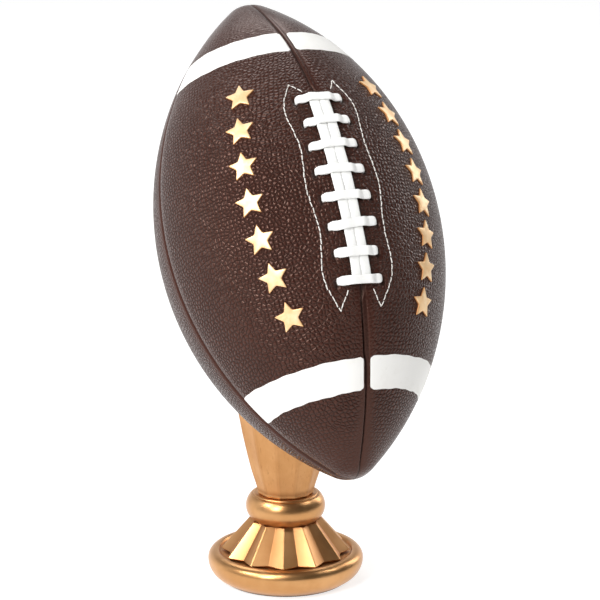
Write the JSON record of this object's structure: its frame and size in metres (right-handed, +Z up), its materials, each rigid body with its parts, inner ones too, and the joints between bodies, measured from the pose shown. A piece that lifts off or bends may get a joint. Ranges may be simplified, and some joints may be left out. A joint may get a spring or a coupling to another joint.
{
  "type": "football award on a stand",
  "caption": "Football award: a laced brown four-panel football leaning back on a gold stand with a faceted stem, a bead, a pleated skirt and a round weighted foot.",
  "frame": {"origin": "centre of the felt's underside, on the stand's axis, where the award meets the shelf", "axes": "+Z up along the stand's axis; the laces face -Y and the ball's top end leans to +Y"},
  "size_m": [0.1574, 0.1901, 0.3229],
  "materials": {
    "leather_brown": "satin",
    "leather_facing": "matte",
    "stripe_white": "satin",
    "lace_white": "satin",
    "thread_white": "matte",
    "ornament_gold": "satin",
    "stem_gold": "satin",
    "stand_gold": "satin",
    "core_plastic": "matte",
    "pad_rubber": "matte",
    "insert_brass": "satin",
    "rod_steel": "satin",
    "ballast_iron": "matte",
    "felt_black": "matte"
  },
  "bodies": {
    "root": {"ballast_disc": "ballast_iron", "bead": "stand_gold", "core_back": "core_plastic", "core_front": "core_plastic", "facing_stitches_left": "thread_white", "facing_stitches_right": "thread_white", "felt_pad": "felt_black", "flat_washer": "rod_steel", "foot": "stand_gold", "lace_crossing_1": "lace_white", "lace_crossing_2": "lace_white", "lace_crossing_3": "lace_white", "lace_crossing_4": "lace_white", "lace_crossing_5": "lace_white", "lace_crossing_6": "lace_white", "lace_crossing_7": "lace_white", "lace_crossing_8": "lace_white", "lace_facing": "leather_facing", "lace_run_left": "lace_white", "lace_run_right": "lace_white", "panel_back_left": "leather_brown", "panel_back_right": "leather_brown", "panel_front_left": "leather_brown", "panel_front_right": "leather_brown", "rod_insert": "insert_brass", "rod_nut": "rod_steel", "saddle_pad": "pad_rubber", "skirt": "stand_gold", "spring_washer": "rod_steel", "stars_left": "ornament_gold", "stars_right": "ornament_gold", "stem": "stem_gold", "stripe_lower_left": "stripe_white", "stripe_lower_right": "stripe_white", "stripe_upper_left": "stripe_white", "stripe_upper_right": "stripe_white", "tie_rod": "rod_steel"}
  },
  "joints": []
}
